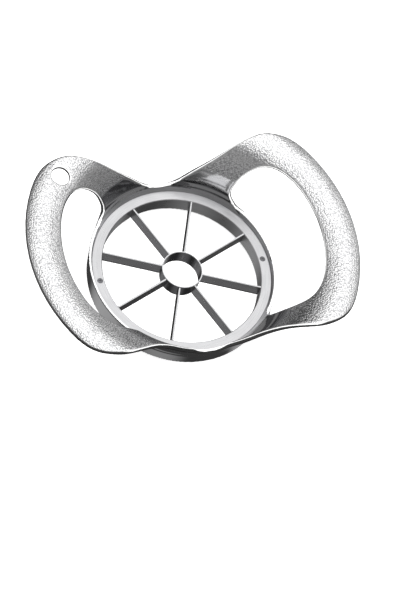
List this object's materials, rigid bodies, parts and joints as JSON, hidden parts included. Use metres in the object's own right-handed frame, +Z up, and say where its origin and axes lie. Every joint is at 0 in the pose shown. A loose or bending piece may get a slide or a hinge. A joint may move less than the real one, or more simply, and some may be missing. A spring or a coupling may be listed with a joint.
{
  "type": "apple slicer wedger press",
  "caption": "Fruit slicer and corer: radial blades and a core tube in a steel ring, held in a round cast collar that flares into two looped handles.",
  "frame": {"origin": "centre of the collar's bottom rim, on the axis of the blades; this is the bottom centre of the bounding box", "axes": "+X through the middle of the two handles, with the hanging hole on the -X, +Y side; +Z up, from the cutting edges to the handles"},
  "size_m": [0.185, 0.1222, 0.0453],
  "materials": {
    "casting": "satin bright casting, pebbled grain on the handles, smooth near the collar",
    "ring_steel": "brushed face with bright edges",
    "blade_steel": "polished",
    "screw_steel": "bright"
  },
  "bodies": {
    "root": {"frame": "casting", "blade_ring": "ring_steel", "corer_tube": "blade_steel", "blade_1": "blade_steel", "blade_2": "blade_steel", "blade_3": "blade_steel", "blade_4": "blade_steel", "blade_5": "blade_steel", "blade_6": "blade_steel", "blade_7": "blade_steel", "blade_8": "blade_steel", "ring_screws": "screw_steel"}
  },
  "joints": []
}
